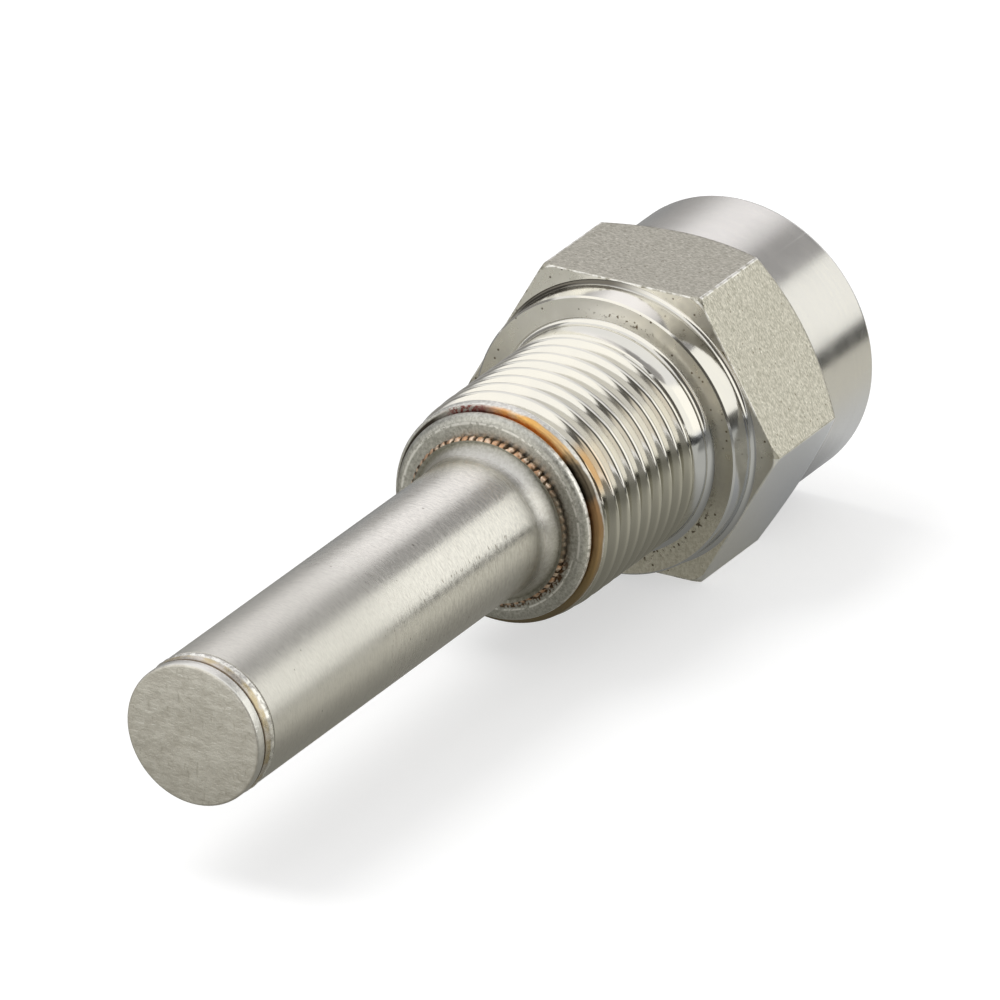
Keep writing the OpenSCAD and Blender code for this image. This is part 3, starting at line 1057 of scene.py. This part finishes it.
def card(name, azimuth, elevation, width, height, level, color, distance=1.0, soft=0.0):
    """A plain studio card that faces the object; width and height in degrees."""
    half_w = distance * math.tan(math.radians(width / 2))
    half_h = distance * math.tan(math.radians(height / 2))
    glow = Glow(name, level, color)
    if soft:
        glow.soften(half_w, half_h, soft)
    plane = reflected_plane(name, rectangle(half_w, half_h, 0), glow.material)
    toward = direction(azimuth, elevation)
    turned = toward.to_track_quat("Z", "Y").to_matrix().to_4x4()
    plane.matrix_world = Matrix.Translation(CENTRE + toward * distance) @ turned


def seen_directly(nodes):
    """1 for camera, glossy and transmission rays."""
    path = nodes.new("LightPath", {}).outputs
    return nodes.either(path["Is Camera Ray"], path["Is Glossy Ray"], path["Is Transmission Ray"])


def make_floor():
    """Pale floor that looks white around the object's soft shadow."""
    material = bpy.data.materials.new("floor_pale")
    nodes = Nodes(material)
    diffuse = nodes.new("BsdfDiffuse", {"Color": FLOOR_GREY})
    lift = nodes.new("Emission", {"Strength": nodes.times(seen_directly(nodes), FLOOR_LIFT)})
    both = nodes.new("AddShader", {0: diffuse.outputs[0], 1: lift.outputs[0]})
    nodes.new("OutputMaterial", {"Surface": both.outputs[0]})
    flat_plane("floor", rectangle(FLOOR_HALF, FLOOR_HALF, FLOOR_Z * MM), material)


def make_world():
    """Soft even light; white wherever it is seen."""
    world = bpy.data.worlds.new("studio")
    bpy.context.scene.world = world
    nodes = Nodes(world)
    level = nodes.ramp(seen_directly(nodes), 0, 1, WORLD_LIGHT, 1.0)
    background = nodes.new("Background", {"Color": (1, 1, 1), "Strength": level})
    nodes.new("OutputWorld", {"Surface": background.outputs[0]})


def floor_card(name, corners, lift, material):
    """A card that lies just above the floor, which only reflections see."""
    reflected_plane(name, [(x, y, FLOOR_Z * MM + lift) for x, y in corners], material)


def make_bench():
    """What the metal mirrors below the horizon: an olive grey bench top with paler
    patches, bluer behind the object, that ends in a dark gap in front of the side panel."""
    glow = Glow("bench", BENCH_LEVEL, BENCH_COLOR)
    place = glow.new("NewGeometry", {}).outputs["Position"]
    x, y, _ = glow.new("SeparateXYZ", {0: place}).outputs

    beside = glow.times(glow.ramp(y, -0.006, -0.034), glow.ramp(x, -0.06, -0.03, 0.02, 0.38))
    deep = glow.times(glow.ramp(y, -0.06, -0.085, 0.0, 0.85), glow.ramp(x, 0.055, 0.03))
    beside = glow.times(beside, glow.minus(1.0, deep))
    behind = glow.times(glow.ramp(x, 0.022, 0.038), glow.ramp(y, 0.0, 0.02, 0.6, 0.1))
    before = glow.times(glow.ramp(x, -0.07, -0.09), glow.ramp(y, -0.03, -0.01, 0.0, 0.22))
    ahead = glow.times(glow.ramp(x, -0.064, -0.054), glow.ramp(x, -0.022, -0.034))
    ahead = glow.times(ahead, glow.ramp(y, 0.006, 0.028, 0.0, 0.26))
    patches = glow.plus(glow.plus(beside, behind), glow.plus(before, ahead))
    level = glow.math("MINIMUM", glow.plus(patches, BENCH_LEVEL), BENCH_MOST)
    glow.put(level, glow.light.inputs["Strength"])
    cool = glow.times(glow.ramp(x, 0.008, 0.02), glow.ramp(y, -0.03, -0.012))
    glow.put(glow.mix(cool, BENCH_COLOR, BENCH_COOL), glow.light.inputs["Color"])
    top = [(-0.22, -0.9), (0.9, -0.9), (0.9, 0.9), (-0.22, 0.9)]
    floor_card("bench", top, 0.00003, glow.material)

    out = direction(-38, 0)
    along = Vector((-out.y, out.x, 0))
    near, far = out * 0.115, out * 1.4
    gap = [near - along * 0.5, near + along * 0.5, far + along * 1.2, far - along * 1.2]
    corners = [(corner.x, corner.y) for corner in gap]
    floor_card("dark_gap", corners, 0.00006, Glow("dark_gap", 0.05, (1.0, 1.0, 0.95)).material)


def area_lamp(name, azimuth, elevation, size, distance, watts):
    """A round soft lamp that faces the object and isn't mirrored in it."""
    data = bpy.data.lights.new(name, "AREA")
    data.shape = "DISK"
    data.size = size
    data.energy = watts
    lamp = bpy.data.objects.new(name, data)
    toward = direction(azimuth, elevation)
    lamp.location = CENTRE + toward * distance
    lamp.rotation_euler = toward.to_track_quat("Z", "Y").to_euler()
    lamp.visible_glossy = False
    bpy.context.scene.collection.objects.link(lamp)


def make_lights():
    """The world, one soft lamp, and the cards and bench that the metal mirrors."""
    make_world()
    area_lamp("soft_key", 100, 60, 0.9, 1.4, 9)
    card("side_panel", -57, 18, 82, 42, 1.15, (1.0, 0.995, 0.955))
    card("near_side_panel", -82, 22, 52, 46, 1.32, (1.0, 0.985, 0.93), distance=0.97, soft=0.3)
    card("left_panel", 156, 34, 66, 62, 1.25, (1.0, 0.985, 0.945), soft=0.1)
    card("back_card", 23, 36, 58, 56, 1.18, (1.0, 0.98, 1.0), distance=1.1, soft=0.9)
    card("gap_card", -10, 42, 64, 38, 0.36, (1.0, 0.98, 0.98), distance=1.15, soft=0.2)
    card("low_back_card", 46, 6, 70, 40, 0.42, (1.0, 0.98, 0.97), distance=1.25, soft=0.15)
    card("far_side_card", 100, 15, 44, 34, 0.3, (1.0, 0.985, 0.96), soft=0.2)
    card("camera_card", -138, 22, 74, 60, 0.11, (1.0, 0.95, 0.85), distance=0.95, soft=0.06)
    card("tip_side_card", -160, 4, 18, 36, 0.85, (1.0, 0.93, 0.8), distance=0.9, soft=0.4)
    make_bench()


def make_camera():
    """A very long lens from the tip's side, looking down."""
    azimuth, elevation, roll = -149.89, 24.62, -0.31
    distance, lens = 1.9177, 805.6
    target = Vector((-0.02062, -0.0015, 0.00248))
    back = direction(azimuth, elevation)
    right = Vector((0, 0, 1)).cross(back).normalized()
    up = back.cross(right)
    turn = Matrix.Rotation(math.radians(roll), 3, back)
    right, up = turn @ right, turn @ up
    data = bpy.data.cameras.new("camera")
    data.lens = lens
    data.sensor_width = 36
    data.clip_start = 0.1
    camera = bpy.data.objects.new("camera", data)
    rotation = Matrix((right, up, back)).transposed().to_4x4()
    camera.matrix_world = Matrix.Translation(target + back * distance) @ rotation
    bpy.context.scene.collection.objects.link(camera)
    bpy.context.scene.camera = camera


# ---------------------------------------------------------------- assembly

materials = {
    "thread": thread_steel(),
    "face": face_steel(),
    "hexagon": hexagon_steel(),
    "sleeve": sleeve_steel(),
    "nose": nose_steel(),
    "bore": bore_steel(),
    "tube": tube_steel(),
    "plug": plug_steel(),
    "root_weld": root_weld_metal(),
    "tip_weld": tip_weld_metal(),
}

for make, node, slot in (
    (make_body, "hex_body", "turned_steel"),
    (make_tube, "stem_tube", "tube_steel"),
    (make_plug, "tip_plug", "plug_steel"),
    (make_root_weld, "root_weld", "weld_metal"),
    (make_tip_weld, "tip_weld", "weld_metal"),
):
    piece = make(materials)
    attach(piece, "root")
    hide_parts(node)

make_floor()
make_lights()
make_camera()
bpy.context.scene.view_settings.view_transform = "Standard"
